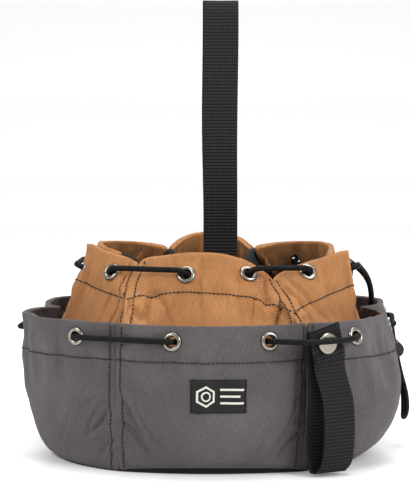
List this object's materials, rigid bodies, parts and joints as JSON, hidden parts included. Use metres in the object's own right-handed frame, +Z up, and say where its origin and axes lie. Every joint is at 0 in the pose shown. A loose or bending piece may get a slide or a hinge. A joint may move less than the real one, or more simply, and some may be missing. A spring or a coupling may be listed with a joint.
{
  "type": "tool bucket organizer",
  "caption": "Soft round organizer with two rings of cloth pockets, draw cords through eyelets with sliding locks, a snap strap and a webbing handle loop.",
  "frame": {"origin": "centre of the base on the floor", "axes": "+Z up along the handle, -Y towards the labelled front pocket, +X towards the side where the cord ends hang"},
  "size_m": [0.2902, 0.2877, 0.3327],
  "materials": {
    "grey_twill": "matt twill",
    "tan_duck": "matt canvas",
    "black_lining": "matt",
    "base_board": "matt, over a stiff board",
    "black_cord": "braided",
    "nickel": "polished nickel",
    "black_webbing": "ribbed webbing",
    "label_weave": "woven, pale pattern",
    "black_plastic": "satin",
    "spring_steel": "bright"
  },
  "bodies": {
    "bag": {"base_panel": "base_board", "divider_0": "black_lining", "divider_120": "black_lining", "divider_180": "black_lining", "divider_240": "black_lining", "divider_300": "black_lining", "divider_60": "black_lining", "handle_anchor": "black_webbing", "handle_lower_strap": "black_webbing", "inner_cord_bight": "black_cord", "inner_draw_cord": "black_cord", "inner_grommets": "nickel", "inner_pocket_front": "tan_duck", "inner_pocket_front_left": "tan_duck", "inner_pocket_front_right": "tan_duck", "inner_pocket_rear": "tan_duck", "inner_pocket_rear_left": "tan_duck", "inner_pocket_rear_right": "tan_duck", "inner_washers": "nickel", "outer_cord_bight": "black_cord", "outer_cord_bridge": "black_cord", "outer_draw_cord": "black_cord", "outer_grommets": "nickel", "outer_pocket_front": "grey_twill", "outer_pocket_front_left": "grey_twill", "outer_pocket_front_right": "grey_twill", "outer_pocket_rear": "grey_twill", "outer_pocket_rear_left": "grey_twill", "outer_pocket_rear_right": "grey_twill", "outer_washers": "nickel", "snap_strap_back": "black_webbing", "snap_stud": "nickel", "woven_label": "label_weave"},
    "handle": {"handle_loop": "black_webbing"},
    "snap_strap": {"snap_strap_front": "black_webbing", "snap_cap": "nickel", "snap_socket": "nickel"},
    "outer_lock": {"outer_lock_barrel": "black_plastic", "outer_lock_spring": "spring_steel"},
    "outer_button": {"outer_lock_button": "black_plastic"},
    "inner_lock": {"inner_lock_barrel": "black_plastic", "inner_lock_spring": "spring_steel"},
    "inner_button": {"inner_lock_button": "black_plastic"}
  },
  "joints": [
    {"name": "handle_fold", "type": "hinge", "parent": "bag", "child": "handle", "pos_m": [0.0075, 0, 0.162], "axis": [1, 0, 0], "range_deg": [-85, 85]},
    {"name": "snap_strap_open", "type": "hinge", "parent": "bag", "child": "snap_strap", "pos_m": [0.0796, -0.1264, 0.005], "axis": [0.8462, 0.5329, 0], "range_deg": [0, 70], "deforming": ["outer_cord_bridge"]},
    {"name": "outer_lock_slide", "type": "slide", "parent": "bag", "child": "outer_lock", "axis": [0.2052, 0, -0.9787], "range_m": [0, 0.006]},
    {"name": "outer_lock_press", "type": "slide", "parent": "outer_lock", "child": "outer_button", "axis": [0, -1, 0], "range_m": [0, 0.004], "stiffness_N_per_m": 250, "springref_m": -0.001, "deforming": ["outer_lock_spring"]},
    {"name": "inner_lock_slide", "type": "slide", "parent": "bag", "child": "inner_lock", "axis": [-0.0365, 0.0729, -0.9967], "range_m": [0, 0.014]},
    {"name": "inner_lock_press", "type": "slide", "parent": "inner_lock", "child": "inner_button", "axis": [0, -1, 0], "range_m": [0, 0.004], "stiffness_N_per_m": 250, "springref_m": -0.001, "deforming": ["inner_lock_spring"]}
  ]
}
